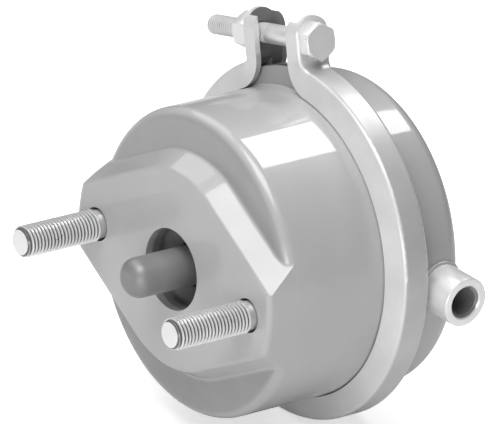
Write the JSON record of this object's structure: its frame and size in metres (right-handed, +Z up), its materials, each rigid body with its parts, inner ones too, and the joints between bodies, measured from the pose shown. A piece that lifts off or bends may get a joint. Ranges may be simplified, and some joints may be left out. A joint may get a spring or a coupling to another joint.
{
  "type": "air brake chamber",
  "caption": "Diaphragm air brake chamber: drum with a lozenge stud pad and a central push rod, V-clamp with turned-out lugs, shallow rear cover and a side air inlet.",
  "frame": {"origin": "centre of the mounting face, midway between the two studs", "axes": "-Y out of the mounting face, along the studs and the push rod's stroke; +X along the line of studs towards the air inlet; +Z up"},
  "size_m": [0.1893, 0.1638, 0.2049],
  "materials": {
    "housing_paint": "satin grey stoving paint",
    "cover_paint": "satin grey stoving paint",
    "bright_zinc": "bright zinc plating",
    "clamp_zinc": "zinc plated pressed sheet",
    "bolt_zinc": "bright zinc plating",
    "inner_steel": "phosphated steel",
    "rod_steel": "dull machined steel",
    "spring_steel": "black coated spring wire",
    "diaphragm_rubber": "black fabric-reinforced rubber",
    "gaiter_rubber": "black rubber",
    "plug_plastic": "black plastic"
  },
  "bodies": {
    "chamber": {"front_housing": "housing_paint", "rear_cover": "cover_paint", "port_boss": "bright_zinc", "clamp_band": "clamp_zinc", "clamp_bolt": "bolt_zinc", "clamp_nut": "bolt_zinc", "stud_plate": "inner_steel", "mounting_stud_left": "bright_zinc", "mounting_stud_right": "bright_zinc", "spring_seat": "inner_steel", "gaiter_retainer": "inner_steel", "gaiter": "gaiter_rubber", "diaphragm": "diaphragm_rubber", "return_spring": "spring_steel", "breather_plug": "plug_plastic", "drain_plug": "plug_plastic"},
    "rod": {"push_rod": "rod_steel", "pressure_plate": "inner_steel", "gaiter_clip": "inner_steel"}
  },
  "joints": [
    {"name": "rod_stroke", "type": "slide", "parent": "chamber", "child": "rod", "axis": [0, -1, 0], "range_m": [0, 0.057], "stiffness_N_per_m": 2000, "springref_m": -0.08, "deforming": ["return_spring", "diaphragm", "gaiter"]}
  ]
}
